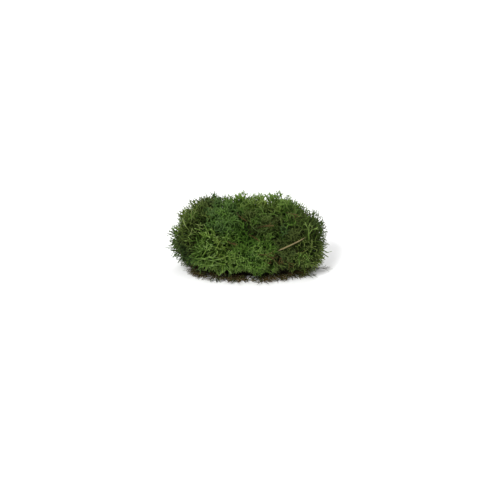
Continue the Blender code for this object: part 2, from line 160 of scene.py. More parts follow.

# Patches of another look, some of them painted shade: where they are and how far they reach in mm, their
# tint, how bright, and the share of the sprigs there that is dead.
Patch = namedtuple("Patch", "place reach tint gain dead_share")
PATCHES = [
    Patch((-38, -18, 13), 8, 0.06, 0.72, 0.0),  # coarse and bluish, at the lower left
    Patch((34, -22, 18), 7, 0.15, 1.2, 0.0),  # the greener spot at the lower right
    Patch((20, -22, 14), 6, 0.6, 1.25, 0.25),  # the brown gap under the needle
    # Painted shade: the hollow in the middle is darker.
    Patch((-2, -16, 30.5), 8, 0.5, 0.45, 0.02),  # the hollow in the middle
    Patch((16, -14, 27), 7, 0.45, 0.95, 0.015),  # browner, to its right
    Patch((8, 0, 41), 9, 0.85, 1.0, 0.0),  # the green mat at the top comes down over these two heads
    Patch((24, -5, 39), 8, 0.8, 0.95, 0.0),
    # Painted shade at the left edge, darker there.
    Patch((-43, -10, 29), 9, 0.55, 0.75, 0.03),
    # Painted shade: the gap beside the threads is darker.
    Patch((-34, -12, 37), 5, 0.5, 0.5, 0.0),  # the dark gap beside the threads
    # Painted shade at the right edge: this and the next patch are darker behind the antler and beyond it.
    Patch((37, -15, 31), 6, 0.3, 0.68, 0.0),  # the dark behind the antler
    Patch((46, -8, 30), 9, 0.4, 0.68, 0.0),
]

PLACES = np.array([head.place for head in HEADS])
REACHES = np.array([head.reach for head in HEADS])

# A lump fills each valley between two heads.
LINK_SWELL = 3.6 * MM  # how far the lump between two heads swells out of the valley that they leave
LEAST_LINK = 6 * MM  # heads that meet in a ring of a smaller radius than this have no such lump
LINK_DEPTH = 8.0 * MM  # how far the core lies inside such a lump


def links():
    """Lumps between neighbouring heads: their places and radii."""
    for one, other in combinations(HEADS, 2):
        apart = (other.place - one.place).length
        share = (apart**2 + one.reach**2 - other.reach**2) / (2 * apart)
        valley = math.sqrt(max(one.reach**2 - share**2, 0))
        if valley > LEAST_LINK:
            yield one.place.lerp(other.place, share / apart), valley + LINK_SWELL


# The clump's lumps: its heads, and the links between them.
LUMPS = [(head.place, head.reach) for head in HEADS] + list(links())
LUMP_PLACES = np.array([place for place, _ in LUMPS])
LUMP_RADII = np.array([radius for _, radius in LUMPS])

# The outline that the tips grow to flows over the valleys between the heads, and comes and goes a little.
VALLEY_FILL = 4.5 * MM  # the more, the fuller the valleys
CROWN_EASE = 4.2 * MM  # how far inside the reach of a head that stands alone its outline lies
OUTLINE_SWELL = 1.1 * MM
OUTLINE_WAVE = 17 * MM
INTERLOCK = 7.5 * MM  # how far sprigs of neighbouring heads reach in among each other
GREEN_FOOT = 2.7 * MM  # green sprigs stay above this height
OUTLINE_GRAIN = 1.0 * MM  # how finely the outline is sampled for places where a crown can stand
OUTLINE_HALVINGS = 12  # how often the way out to such a place is halved to find it

# Hollows pressed into the outline: their places and radii, and how deep they are, in mm.
HOLLOWS = [
    ((0, -17, 30), 8.5, 5.0),
    ((-33, -12, 36), 5.5, 3.5),
    ((19, -22, 12), 6.5, 4.5),
    ((-10, -22, 25), 5, 2.5),
    ((41, -8, 31), 6, 3.5),
    ((20, -14, 30), 6, 3.0),
    ((-40, -9, 23), 5, 2.5),
    ((8, 26, 34), 8, 4.0),
    ((-22, 30, 26), 7, 3.5),
    ((20, -21, 22.5), 4.5, 1.8),
    ((26, -19, 25), 4.5, 1.8),
    ((32.5, -17, 27.5), 4.5, 1.8),
    ((37, -16, 30), 5, 1.0),
]

# The core is a lump of packed stalks, dark as painted shade inside the clump, this far inside the heads'
# outline.
CORE_DEPTH = 9.0 * MM
CORE_MIDDLE = (Vector((0, 5, 15)) * MM, Vector((38, 18, 13)) * MM)  # a lump's place and half sizes
CORE_VOXEL = 1.2 * MM
CORE_LEAST = 1.0 * MM  # the least radius of a lump in it
CORE_EASING = 6  # how often it is smoothed
CORE_LUMPS = 2.0 * MM  # how high the lumps on the core are, and next how wide
CORE_LUMP_SIZE = 3 * MM

# How a sprig stands.
ROOT_SINK = 1.0 * MM  # how deep it starts inside the core
SQUARENESS = 2  # how much more it stands square to the outline than away from its head's middle
SPRIG_LENGTHS = (0.92, 1.04)  # how long it is for the way from its root to its crown, least and most
SPRIG_WIDTHS = (0.9, 1.25)  # how wide it is for its model's width
THINNING_SIZE = 0.8  # one that is smaller than this for its model is thinner too
SPRIG_BEND = 0.2  # how far its top may bend aside, for its length
SINGLE_BEND = 0.08  # and how far a single sprig's does
ROOM_MARGIN = 0.1 * MM  # how far inside its room it has to stay
MOST_PROUD = 4.0 * MM  # how far a tip may stand out of the outline
STRAND_STEPS = 7  # at how many points along it a strand is measured from the needle
STRAND_EDGE = 1.0 * MM  # a longer edge of a sprig's mesh runs along a strand
LEANS = 14  # how many leans it is tried in, each a little smaller, before it is left out
LEAN_STEP = 0.12  # how far each lean goes on from the last
SHRINK_STEP = 0.96

# The needle lies across the front, as in the solids.
NEEDLE_LOW_END = Vector((16.8, -21.0, 20.9)) * MM
NEEDLE_HIGH_END = Vector((34.5, -15.0, 27.8)) * MM
NEEDLE_SAG = 0.4 * MM
NEEDLE_RADIUS = 0.45 * MM
NEEDLE_FLATNESS = 0.6  # how thick it is for its width
NEEDLE_TIP = 0.3  # how wide its low end is for its middle
# Near its low end and its high end, how wide it is for its middle, and how fast it widens.
NEEDLE_TAPERS = ((0.5, 2.5), (0.2, 3.2))
NEEDLE_SECTIONS = 14
NEEDLE_SIDES = 10
NEEDLE_MAP = ((0.5, 0.45), (0.02, 0.96))  # its map's middle and half width, and its start and length

# Sprigs stay off the needle, and out of the viewer's line of sight to it.
NEEDLE_STEPS = 30  # in how many steps along it this is measured
NEEDLE_COVERED = 4  # how many of them, from its low end, may be out of sight
NEEDLE_VIEW = 8  # how far in front of it the line of sight is kept free, in mm
NEEDLE_CLEARANCE = 0.6 * MM  # how far sprigs stay beside it there

# The photograph's frame: a long lens, straight in front and a little above.
PICTURE_SIDE = 500
PIXELS_A_METRE = 1550
CAMERA_ELEVATION = math.radians(20)
CAMERA_DISTANCE = 1.62
SENSOR = 36
ORIGIN_PIXEL = (251.5, 270)
SIGHT = Vector((0, -math.cos(CAMERA_ELEVATION), math.sin(CAMERA_ELEVATION)))
SIGHT_UP = Vector((0, math.sin(CAMERA_ELEVATION), math.cos(CAMERA_ELEVATION)))
SIGHT_STEPS = np.arange(-20, 60, 0.1)  # places along a line of sight, in mm towards the viewer

# The studio: each light's name, place, width in metres and power in watts, and what they all point at.
LIGHTS = (
    ("key", (-0.4, -0.9, 0.8), 0.35, 16.0),
    ("fill", (0.7, -0.7, 0.4), 0.6, 2.5),
    ("rim", (0.3, 0.9, 0.9), 0.6, 7.0),
)
LIT_PLACE = Vector((0, 0, 0.02))
SKY_STRENGTH = 0.55
FLOOR_SIZE = 8
FLOOR_COLOUR = (250, 250, 250)

# Colours as the screen shows them, from a sprig's root to its tips: the dark roots are partly the stalks' own
# colour and partly painted shade deep in the clump.
Finish = namedtuple("Finish", "deep shade light tip")
YELLOW_GREEN = Finish((28, 50, 5), (52, 78, 18), (91, 117, 46), (120, 143, 80))
MID_GREEN = Finish((26, 47, 7), (45, 72, 17), (76, 106, 38), (101, 129, 64))
BLUE_GREEN = Finish((21, 38, 8), (36, 58, 20), (62, 87, 40), (88, 113, 66))
OLIVE_YELLOW = Finish((32, 44, 6), (58, 74, 20), (97, 114, 48), (126, 142, 80))
OLIVE = Finish((18, 30, 3), (35, 48, 11), (71, 86, 32), (115, 128, 68))
GREY_GREEN = Finish((18, 31, 3), (38, 51, 14), (80, 96, 42), (126, 141, 83))
# The next two finishes, used only in the dark slot, are painted shade: they darken the clump's edges and
# hollows.
SHADED_BLUE_GREEN = Finish((18, 31, 8), (30, 48, 17), (54, 77, 35), (84, 109, 62))
SHADED_GREEN = Finish((27, 30, 9), (41, 49, 17), (65, 77, 33), (90, 103, 54))
DEEP_OLIVE = Finish((20, 27, 5), (38, 48, 13), (65, 77, 29), (94, 105, 50))
DEAD_BROWN = Finish((24, 20, 8), (48, 40, 18), (80, 66, 36), (108, 91, 54))
SLOT_FINISHES = {
    "bright_green_lichen": (BLUE_GREEN, YELLOW_GREEN, OLIVE_YELLOW),
    "mid_green_lichen": (BLUE_GREEN, MID_GREEN, YELLOW_GREEN),
    "olive_green_lichen": (MID_GREEN, OLIVE, GREY_GREEN),
    "dark_green_lichen": (SHADED_BLUE_GREEN, SHADED_GREEN, MID_GREEN),
}
HEIGHT_STOPS = (0.1, 0.5, 0.8, 1.0)  # how far up a sprig each colour of its finish is seen
TINT_STOPS = (0.05, 0.45, 0.85)  # the tints at which a slot's three finishes are seen alone
MOTTLE = 0.45  # how far a sprig's colour comes and goes along it
MOTTLE_GRAIN = (45, 12, 1)
# The near-black green is painted shade deep inside the clump.
CORE_COLOURS = ((19, 30, 6), (31, 30, 10), (32, 47, 12))  # green, brown, and the paler grain
NEEDLE_COLOURS = ((62, 44, 24), (107, 95, 60), (141, 131, 92))  # its ends, its length, and its streaks
NEEDLE_STOPS = (0.0, 0.1, 0.85, 1.0)  # its low end, its length from and to here, and its high end
NEEDLE_GRAIN = (18, 2, 1)


def linear(colour):
    """A colour in 0 to 255 as the screen shows it, as the linear values that a shader takes."""
    shares = [part / 255 for part in colour]
    return [share / 12.92 if share <= 0.04045 else ((share + 0.055) / 1.055) ** 2.4 for share in shares] + [1]


class Value:
    """A number in a material: sums and products of it add their Math nodes."""

    def __init__(self, paint, socket):
        self.paint = paint
        self.socket = socket

    def maths(self, operation, *numbers):
        return self.paint.make("ShaderNodeMath", {"operation": operation}, dict(enumerate(numbers)))

    def __add__(self, other):
        return self.maths("ADD", self, other)

    def __sub__(self, other):
        return self.maths("SUBTRACT", self, other)

    def __mul__(self, other):
        return self.maths("MULTIPLY", self, other)

    def __rsub__(self, other):
        return self.maths("SUBTRACT", other, self)

    __radd__ = __add__
    __rmul__ = __mul__


class Paint:
    """A material's nodes, made one by one."""

    def __init__(self, name, **surface):
        self.material = bpy.data.materials.new(name)
        self.material.use_nodes = True
        self.tree = self.material.node_tree
        self.shader = self.tree.nodes["Principled BSDF"]
        for socket, value in surface.items():
            self.shader.inputs[socket.replace("_", " ").title().replace("Ior", "IOR")].default_value = value

    def feed(self, socket, value):
        if isinstance(value, Value):
            self.tree.links.new(value.socket, socket)
        else:
            socket.default_value = value

    def cover(self, **surface):
        for socket, value in surface.items():
            self.feed(self.shader.inputs[socket.replace("_", " ").title()], value)
        return self.material

    def make(self, kind, settings, inputs, output=0):
        """A node of this kind: its settings are set before its sockets are fed."""
        node = self.tree.nodes.new(kind)
        for setting, value in settings.items():
            if setting == "stops":
                self.set_stops(node.color_ramp, value)
            else:
                setattr(node, setting, value)
        for socket, value in inputs.items():
            self.feed(node.inputs[socket], value)
        return Value(self, node.outputs[output])

    def set_stops(self, ramp, stops):
        ramp.elements.remove(ramp.elements[1])
        for step, (place, colour) in enumerate(stops):
            stop = ramp.elements[0] if step == 0 else ramp.elements.new(place)
            stop.position = place
            stop.color = linear(colour)

    def ramp(self, number, places, colours):
        return self.make("ShaderNodeValToRGB", {"stops": list(zip(places, colours))}, {0: number})

    def mix(self, share, first, second):
        """The first colour, turned into the second by this share."""
        return self.make("ShaderNodeMix", {"data_type": "RGBA"}, {0: share, 6: first, 7: second}, output=2)

    def between(self, number, low, high):
        """How far the number has come from low to high, no less than 0 and no more than 1."""
        return self.make("ShaderNodeMapRange", {}, {0: number, 1: low, 2: high})

    def noise(self, place, scale, detail=2.0):
        return self.make("ShaderNodeTexNoise", {}, {"Vector": place, "Scale": scale, "Detail": detail})

    def stretched(self, place, scale):
        return self.make("ShaderNodeMapping", {}, {"Vector": place, "Scale": scale})

    def object_place(self):
        return self.make("ShaderNodeTexCoord", {}, {}, output="Object")

    def map_place(self):
        return self.make("ShaderNodeUVMap", {"uv_map": TINT_MAP}, {})

    def parts(self, place):
        """The place's first and second parts."""
        across = self.make("ShaderNodeSeparateXYZ", {}, {0: place})
        return across, Value(self, across.socket.node.outputs[1])


def lichen_paint(name, cool, own, warm):
    """Dark at a sprig's root, partly as painted shade deep in the clump, and pale at its tips, each sprig in
    its own tint, and some of them dead.
    """
    paint = Paint(name, roughness=0.85, specular_ior_level=0.1)
    place = paint.map_place()
    tint, height = paint.parts(place)
    mottle = paint.noise(paint.stretched(place, MOTTLE_GRAIN), scale=1.0)
    height = height + MOTTLE * (mottle - 0.5)
    greens = [paint.ramp(height, HEIGHT_STOPS, finish) for finish in (cool, own, warm)]
    cool_tint, own_tint, warm_tint = TINT_STOPS
    green = paint.mix(paint.between(tint, cool_tint, own_tint), greens[0], greens[1])
    green = paint.mix(paint.between(tint, own_tint, warm_tint), green, greens[2])
    dead = paint.ramp(height, HEIGHT_STOPS, DEAD_BROWN)
    is_dead = tint.maths("GREATER_THAN", tint, (GREEN_TINTS[1] + DEAD_TINT) / 2)
    return paint.cover(base_color=paint.mix(is_dead, green, dead), roughness=0.95 - 0.2 * height)


def core_paint():
    """Packed dead stalks: nearly black green, as painted shade deep inside the clump, with brown in it."""
    paint = Paint("packed_stalks", roughness=0.95, specular_ior_level=0.1)
    place = paint.object_place()
    green, brown, pale = [linear(colour) for colour in CORE_COLOURS]
    patches = paint.between(paint.noise(place, scale=260.0), low=0.35, high=0.65)
    colour = paint.mix(patches, green, brown)
    grain = paint.noise(place, scale=1100.0, detail=6.0)
    bump = paint.make("ShaderNodeBump", {}, {"Height": grain, "Strength": 0.9, "Distance": 0.6 * MM})
    colour = paint.mix(paint.between(grain, low=0.4, high=0.7), colour, pale)
    return paint.cover(base_color=colour, normal=bump)


def dead_stem_paint():
    """Decayed stems: dark brown, paler to the tips, some of them still a little green."""
    paint = Paint("dead_stems", roughness=0.9, specular_ior_level=0.2)
    tint, height = paint.parts(paint.map_place())
    brown = paint.ramp(height, HEIGHT_STOPS, DEAD_BROWN)
    greener = paint.ramp(height, HEIGHT_STOPS, DEEP_OLIVE)
    return paint.cover(base_color=paint.mix(paint.between(tint, low=0.5, high=0.9), brown, greener))


def needle_paint():
    """Dry tan with darker ends and fine streaks along it."""
    paint = Paint("dry_needle", roughness=0.55, specular_ior_level=0.4)
    place = paint.map_place()
    _, along = paint.parts(place)
    dark, tan, pale = NEEDLE_COLOURS
    ends = paint.ramp(along, NEEDLE_STOPS, (dark, tan, tan, dark))
    streaks = paint.noise(paint.stretched(place, NEEDLE_GRAIN), scale=1.0)
    streaks = paint.between(streaks, low=0.4, high=0.7)
    return paint.cover(base_color=paint.mix(0.7 * streaks, ends, linear(pale)))


def deselect():
    bpy.ops.object.select_all(action="DESELECT")


def join(pieces, whole):
    """Joins all the pieces into one of them, the whole."""
    deselect()
    for piece in pieces:
        piece.select_set(True)
    bpy.context.view_layer.objects.active = whole
    bpy.ops.object.join()
    return whole


def open_faces():
    """Opens the active piece in edit mode, to pick faces."""
    bpy.ops.object.mode_set(mode="EDIT")
    bpy.ops.mesh.select_mode(type="FACE")
    bpy.ops.mesh.select_all(action="DESELECT")


def pick_face(piece, place):
    """Selects only the face whose middle lies nearest to the place, and returns its normal."""
    bm = bmesh.from_edit_mesh(piece.data)
    bm.normal_update()
    nearest = min(bm.faces, key=lambda face: (face.calc_center_median() - place).length_squared)
    for face in bm.faces:
        face.select_set(False)
    nearest.select_set(True)
    bmesh.update_edit_mesh(piece.data)
    return nearest.normal.copy()


def picked_middles(piece):
    """The middles of the selected faces."""
    bm = bmesh.from_edit_mesh(piece.data)
    return [face.calc_center_median() for face in bm.faces if face.select]


def picked_radius(piece, middle):
    """How far the selected corners lie from the middle."""
    bm = bmesh.from_edit_mesh(piece.data)
    return max((vert.co - middle).length for vert in bm.verts if vert.select)


def turn_picked(axis, angle, middle):
    """Turns what is selected by the angle, round the axis through the middle."""
    bpy.ops.transform.rotate(
        value=angle,
        orient_axis="Z",
        orient_type="GLOBAL",
        orient_matrix=axis.to_track_quat("Z", "Y").to_matrix(),
        orient_matrix_type="GLOBAL",
        constraint_axis=(False, False, True),
        center_override=middle,
    )


def draw_out(piece, place, way, length, radius):
    """Extrudes the face at the place, turns it to the way, rounds it, sizes it, and gives its new place."""
    end = place + way * length
    normal = pick_face(piece, place)
    bpy.ops.mesh.extrude_region_move(TRANSFORM_OT_translate={"value": way * length})
    turn_picked(normal.cross(way).normalized(), normal.angle(way), end)
    bpy.ops.transform.tosphere(value=1, center_override=end)
    bpy.ops.transform.resize(value=[radius / picked_radius(piece, end)] * 3, center_override=end)
    return end


def fork(piece, place, way, spread, threes, draw):
    """Pokes the face at the place, and gives the places and the ways of the branches that grow from it."""
    pick_face(piece, place)
    bpy.ops.mesh.poke()
    middles = picked_middles(piece)
    draw.shuffle(middles)
    branches = []
    for middle in middles[: 3 if draw.random() < threes else 2]:
        lean = math.radians(spread) * draw.uniform(*BRANCH_LEANS)
        outward = (middle - place).normalized()
        branches.append((middle, way * math.cos(lean) + outward * math.sin(lean)))
    return branches


def model_sprig(kind, number):
    """One sprig standing at the origin: a three-sided stem, forked as often as its kind says."""
    draw = random.Random(f"{kind.name} {number}")
    lengths = [length * MM for length in kind.lengths]
    radii = [radius * MM for radius in kind.radii]
    deselect()
    bpy.ops.mesh.primitive_cone_add(
        vertices=3, radius1=radii[0], radius2=radii[1], depth=lengths[0], location=(0, 0, lengths[0] / 2)
    )
    sprig = bpy.context.object
    bpy.ops.object.transform_apply(location=True)
    open_faces()
    crowns = [(Vector((0, 0, lengths[0])), Vector((0, 0, 1)))]
    joints = [(Vector((0, 0, 0)), 0), (crowns[0][0], 1)]
    levels = zip(lengths[1:], radii[2:], kind.spreads, kind.threes)
    for level, (length, radius, spread, threes) in enumerate(levels):
        grown = []
        for crown, way in crowns:
            for start, branch_way in fork(sprig, crown, way, spread, threes, draw):
                end = draw_out(sprig, start, branch_way, length * draw.uniform(*BRANCH_LENGTHS), radius)
                grown.append((end, branch_way))
                joints.append((end, level + 2))
        crowns = grown
    bpy.ops.object.mode_set(mode="OBJECT")
    bpy.ops.object.shade_smooth()
    map_heights(sprig.data, joints, len(lengths))
    return sprig


def map_heights(mesh, joints, levels):
    """Gives each corner its height up the sprig, and a small step across for its side of the strand."""
    corners = {}
    for vert in mesh.vertices:
        joint, level = min(joints, key=lambda pair: (pair[0] - vert.co).length_squared)
        side = (vert.co - joint).normalized()
        corners[vert.index] = (side.x * RING_WIDTH, level / levels + side.z * RING_RISE)
    layer = mesh.uv_layers.new(name=TINT_MAP)
    for loop, corner in zip(mesh.loops, layer.uv):
        corner.vector = corners[loop.vertex_index]


# A modelled sprig: its bare mesh, its points, its map, how tall it is, and the ends of its long edges.
Model = namedtuple("Model", "mesh places uvs length spans")


def model_of(sprig):
    """Takes a modelled sprig out of the scene and gives it as a Model."""
    mesh = sprig.data
    places = np.empty(len(mesh.vertices) * 3, np.float32)
    mesh.vertices.foreach_get("co", places)
    uvs = np.empty(len(mesh.loops) * 2, np.float32)
    mesh.uv_layers[TINT_MAP].uv.foreach_get("vector", uvs)
    while mesh.uv_layers:
        mesh.uv_layers.remove(mesh.uv_layers[0])
    bpy.data.objects.remove(sprig)
    places = places.reshape(-1, 3)
    edges = np.array([edge.vertices for edge in mesh.edges])
    lengths = np.linalg.norm(places[edges[:, 0]] - places[edges[:, 1]], axis=1)
    return Model(mesh, places, uvs.reshape(-1, 2), float(places[:, 2].max()), edges[lengths > STRAND_EDGE])


def even_directions(count):
    """Directions spread evenly over the whole ball, on a spiral from top to bottom."""
    steps = np.arange(count)
    height = 1 - 2 * (steps + 0.5) / count
    ring = np.sqrt(1 - height * height)
    angle = math.pi * (3 - math.sqrt(5)) * steps
    return np.column_stack([ring * np.cos(angle), ring * np.sin(angle), height])


def aimed(places, way):
    """The points of an upright sprig, turned to stand this way."""
    return places @ np.array(way.to_track_quat("Z", "Y").to_matrix()).T


def reach_powers(places):
    """How far each place lies past each head's reach, as squares, so that heads part along flat seams."""
    return ((places[:, None] - PLACES[None]) ** 2).sum(2) - REACHES**2


def outline_overlap(places):
    """How far each place lies outside the clump's outline, which flows from head to head, and the way out."""
    ways = places[:, None] - LUMP_PLACES[None]
    distances = np.linalg.norm(ways, axis=2)
    pulls = np.exp((LUMP_RADII - distances) / VALLEY_FILL)
    flowing = -VALLEY_FILL * np.log(pulls.sum(1)) + CROWN_EASE
    x, y, z = (places / OUTLINE_WAVE * math.tau).T
    # Three waves that cross and hardly ever repeat.
    swell = np.sin(x + 1.3 * y) + np.sin(1.7 * z - 0.6 * x) + np.sin(2.3 * x - 1.1 * z + y)
    normals = (ways / distances[:, :, None] * pulls[:, :, None]).sum(1)
    for place, radius, depth in HOLLOWS:
        apart = np.linalg.norm(places - np.array(place) * MM, axis=1)
        flowing = flowing + depth * MM * np.exp(-((apart / (radius * MM)) ** 2))
    return flowing - OUTLINE_SWELL * swell, normals / np.linalg.norm(normals, axis=1)[:, None]


def needle_point(share):
    """The place this share of the way along the needle, from its low end."""
    sag = Vector((0, 0, -NEEDLE_SAG * 4 * share * (1 - share)))
    return NEEDLE_LOW_END.lerp(NEEDLE_HIGH_END, share) + sag


def seen_on_outline(across, up, proud):
    """Where the viewer in front sees the outline this far across and up, moved this far forward."""
    line = (Vector((across, 0, 0)) + SIGHT_UP * up) * MM
    places = np.array(line) + SIGHT_STEPS[:, None] * np.array(SIGHT) * MM
    nearest = SIGHT_STEPS[outline_overlap(places)[0] < 0].max()
    return line + SIGHT * (nearest + proud) * MM


# The needle's line, and the lines of sight that lead to all but its low end.
NEEDLE_LINE = np.array([needle_point(step / NEEDLE_STEPS) for step in range(NEEDLE_STEPS + 1)])
NEEDLE_SIGHT = np.array([
    place + np.array(SIGHT) * ahead * MM
    for place in NEEDLE_LINE[NEEDLE_COVERED:]
    for ahead in range(1, NEEDLE_VIEW + 1)
])


def from_line(places, line, radius):
    """How far the places reach into the room round the line at worst, and the way out there."""
    ways = places[:, None] - line[None]
    distances = np.linalg.norm(ways, axis=2)
    place, step = divmod(int(distances.argmin()), len(line))
    return radius - float(distances[place, step]), ways[place, step]


def along_strands(places, spans):
    """Points along the strands, too close together for the needle to slip between them."""
    starts, ends = places[spans[:, 0]], places[spans[:, 1]]
    return (starts + (ends - starts) * np.linspace(0, 1, STRAND_STEPS)[:, None, None]).reshape(-1, 3)


def room_overlap(number, places, spans):
    """How far the sprig's places and strands leave this head's room at worst, and the way back into it."""
    others = [other for other in range(len(HEADS)) if other != number]
    powers = reach_powers(places)
    across = PLACES[others] - PLACES[number]
    apart = np.linalg.norm(across, axis=1)
    seams = (powers[:, [number]] - powers[:, others]) / (2 * apart) - INTERLOCK
    feet = GREEN_FOOT - places[:, 2]
    from_mat = (places - np.array(MAT_PLACE)) / (MAT_HALF_WIDTH, MAT_HALF_DEPTH, MAT_HEIGHT)
    mats = (1 - np.linalg.norm(from_mat, axis=1)) * MAT_HEIGHT + SEAM
    prouds, outwards = outline_overlap(places)
    overlaps = np.column_stack([seams, feet, mats, prouds - MOST_PROUD])
    worst = int(overlaps.argmax())
    place, wall = divmod(worst, overlaps.shape[1])
    if wall < len(others):
        away = -across[wall] / apart[wall]
    elif wall == len(others):
        away = (0, 0, 1)
    elif wall == len(others) + 1:
        away = from_mat[place]
    else:
        away = -outwards[place]
    in_sight = from_line(places, NEEDLE_SIGHT, NEEDLE_RADIUS + NEEDLE_CLEARANCE)
    on_needle = from_line(along_strands(places, spans), NEEDLE_LINE, NEEDLE_RADIUS - ROOM_MARGIN)
    overlap, away = max((float(overlaps.max()), away), in_sight, on_needle, key=lambda pair: pair[0])
    return overlap + ROOM_MARGIN, Vector(away).normalized()


def add_lump(place, radius, scale=(1, 1, 1)):
    """One ball of the core, or one squashed by the scale."""
    deselect()
    bpy.ops.mesh.primitive_ico_sphere_add(subdivisions=3, radius=radius, location=place, scale=scale)
    return bpy.context.object


def model_core():
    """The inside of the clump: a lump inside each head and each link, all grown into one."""
    lumps = []
    for number, (place, radius) in enumerate(LUMPS):
        depth = CORE_DEPTH if number < len(HEADS) else LINK_DEPTH
        lumps.append(add_lump(place, max(radius - depth, CORE_LEAST)))
    middle, half_sizes = CORE_MIDDLE
    lumps.append(add_lump(middle, 1, half_sizes))
    core = join(lumps, lumps[-1])
    bpy.ops.object.transform_apply()
    core.name = core.data.name = "stalk_core"
    grown = core.modifiers.new("grown", "REMESH")
    grown.mode = "VOXEL"
    grown.voxel_size = CORE_VOXEL
    eased = core.modifiers.new("eased", "SMOOTH")
    eased.iterations = CORE_EASING
    clouds = bpy.data.textures.new("core_lumps", "CLOUDS")
    clouds.noise_scale = CORE_LUMP_SIZE
    lumpy = core.modifiers.new("lumpy", "DISPLACE")
    lumpy.texture = clouds
    lumpy.texture_coords = "LOCAL"
    lumpy.strength = CORE_LUMPS
    for modifier in ("grown", "eased", "lumpy"):
        bpy.ops.object.modifier_apply(modifier=modifier)
    bpy.ops.object.shade_smooth()
    core.data.materials.append(core_paint())
    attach(core, "root")
    return core


def bent_and_spun(model, size, width, bend, spin):
    """The model's points, sized, bent to one side by a share of its length, and spun round the stem."""
    places = model.places * (size * width, size * width, size)
    share = places[:, 2] / (model.length * size)
    places[:, 0] += bend * model.length * size * share**2
    return places @ np.array(Matrix.Rotation(spin, 3, "Z")).T


def fit_sprig(number, places, spans, root, direction):
    """The sprig's points at its root, leant and shrunk until it stays in its room, or None."""
    for step in range(LEANS):
        placed = aimed(places * SHRINK_STEP**step, direction) + np.array(root)
        overlap, away = room_overlap(number, placed, spans)
        if overlap <= 0:
            return placed
        direction = (direction + away * LEAN_STEP).normalized()
    return None


def copy_sprig(model, places, tint, gain, paleness=0.0):
    """The sprig's own copy of its model's mesh, at these places, in this tint, from this pale to this bright.

    Its map is made anew, because a copied one is still the model's.
    """
    mesh = model.mesh.copy()
    mesh.vertices.foreach_set("co", places.astype(np.float32).ravel())
    uvs = model.uvs * (1, gain - paleness) + (tint, paleness)
    layer = mesh.uv_layers.new(name=TINT_MAP)
    layer.uv.foreach_set("vector", np.clip(uvs, *MAP_RANGE).astype(np.float32).ravel())
    copy = bpy.data.objects.new("sprig", mesh)
    bpy.context.scene.collection.objects.link(copy)
    return copy


def joined(pieces, name, material):
    """Joins the pieces into one with this name and this one material."""
    whole = join(pieces, pieces[0])
    whole.name = whole.data.name = name
    whole.data.materials.clear()
    whole.data.materials.append(material)
    return whole


def outline_places(number, head, depth):
    """Places over this head's share of the outline, moved inwards by the depth, and the way out at each."""
    directions = even_directions(int(4 * math.pi * head.reach**2 / OUTLINE_GRAIN**2))
    inner = np.zeros(len(directions))
    outer = np.full(len(directions), 2 * head.reach)
    for _ in range(OUTLINE_HALVINGS):
        middle = (inner + outer) / 2
        overlaps, _ = outline_overlap(np.array(head.place) + directions * middle[:, None])
        outside = overlaps > -depth
        outer = np.where(outside, middle, outer)
        inner = np.where(outside, inner, middle)
    places = np.array(head.place) + directions * inner[:, None]
    own = (reach_powers(places).argmin(1) == number) & (places[:, 2] > GREEN_FOOT)
    places = places[own]
    return places, outline_overlap(places)[1]


def crowns_of(layer, draw):
    """Evenly spaced crowns over the whole outline: each one's head, its place and the way out there."""
    candidates = []
    for number, head in enumerate(HEADS):
        places, normals = outline_places(number, head, layer.depth * MM)
        candidates += [(number, place, normal) for place, normal in zip(places, normals)]
    draw.shuffle(candidates)
    taken = np.empty((len(candidates), 3))
    crowns = []
    for number, place, normal in candidates:
        spacing = HEADS[number].growth.spacing * layer.spacing * MM
        if not crowns or np.linalg.norm(taken[: len(crowns)] - place, axis=1).min() > spacing:
            taken[len(crowns)] = place
            crowns.append((number, Vector(place), Vector(normal)))
    return crowns


def root_below(core, crown, head, normal):
    """The root of this crown's sprig, inside the core: straight in, or else where the core is nearest."""
    way = ((crown - head.place).normalized() + SQUARENESS * normal).normalized()
    surface = core.ray_cast(crown, -way, head.reach)[0]
    if surface is None:
        surface = core.find_nearest(crown)[0]
        way = (crown - surface).normalized()
    return surface - way * ROOT_SINK


def look_at(head, crown, draw):
    """The sprig's tint and how bright it is: its head's, drifting over the clump, or its patch's."""
    # Two crossing waves, about 28 and 21 mm long.
    drift = math.sin(crown.x * 210 + crown.z * 90) * math.cos(crown.y * 170 - crown.z * 240)
    tint, gain, dead_share = head.tint + drift * TINT_DRIFT, 1.0, head.growth.dead_share
    for patch in PATCHES:
        share = math.exp(-(((crown - Vector(patch.place) * MM).length / (patch.reach * MM)) ** 2))
        tint += (patch.tint - tint) * share
        gain += (patch.gain - gain) * share
        dead_share += (patch.dead_share - dead_share) * share
    if draw.random() < dead_share:
        return DEAD_TINT, gain
    lowest, highest = GREEN_TINTS
    return min(max(draw.gauss(tint, TINT_SPREAD), lowest), highest), gain


def grow_sprig(number, crown, normal, layer, models, core, draw):
    """A sprig from the core to its crown, in its own kind, tint and lean, or None where there is no room."""
    head = HEADS[number]
    growth = head.growth
    root = root_below(core, crown, head, normal)
    kind = draw.choices(list(growth.kinds), list(growth.kinds.values()))[0]
    model = draw.choice(models[kind])
    tint, gain = look_at(head, crown, draw)
    size = (crown - root).length * draw.uniform(*SPRIG_LENGTHS) / model.length
    width = draw.uniform(*SPRIG_WIDTHS) / max(size, THINNING_SIZE)
    bend = draw.uniform(-SPRIG_BEND, SPRIG_BEND)
    places = bent_and_spun(model, size, width, bend, draw.uniform(0, math.tau))
    lean = Vector([draw.uniform(-1, 1) for _ in "xyz"]) * growth.lean
    places = fit_sprig(number, places, model.spans, root, ((crown - root).normalized() + lean).normalized())
    return None if places is None else copy_sprig(model, places, tint, gain * draw.uniform(*layer.gain))


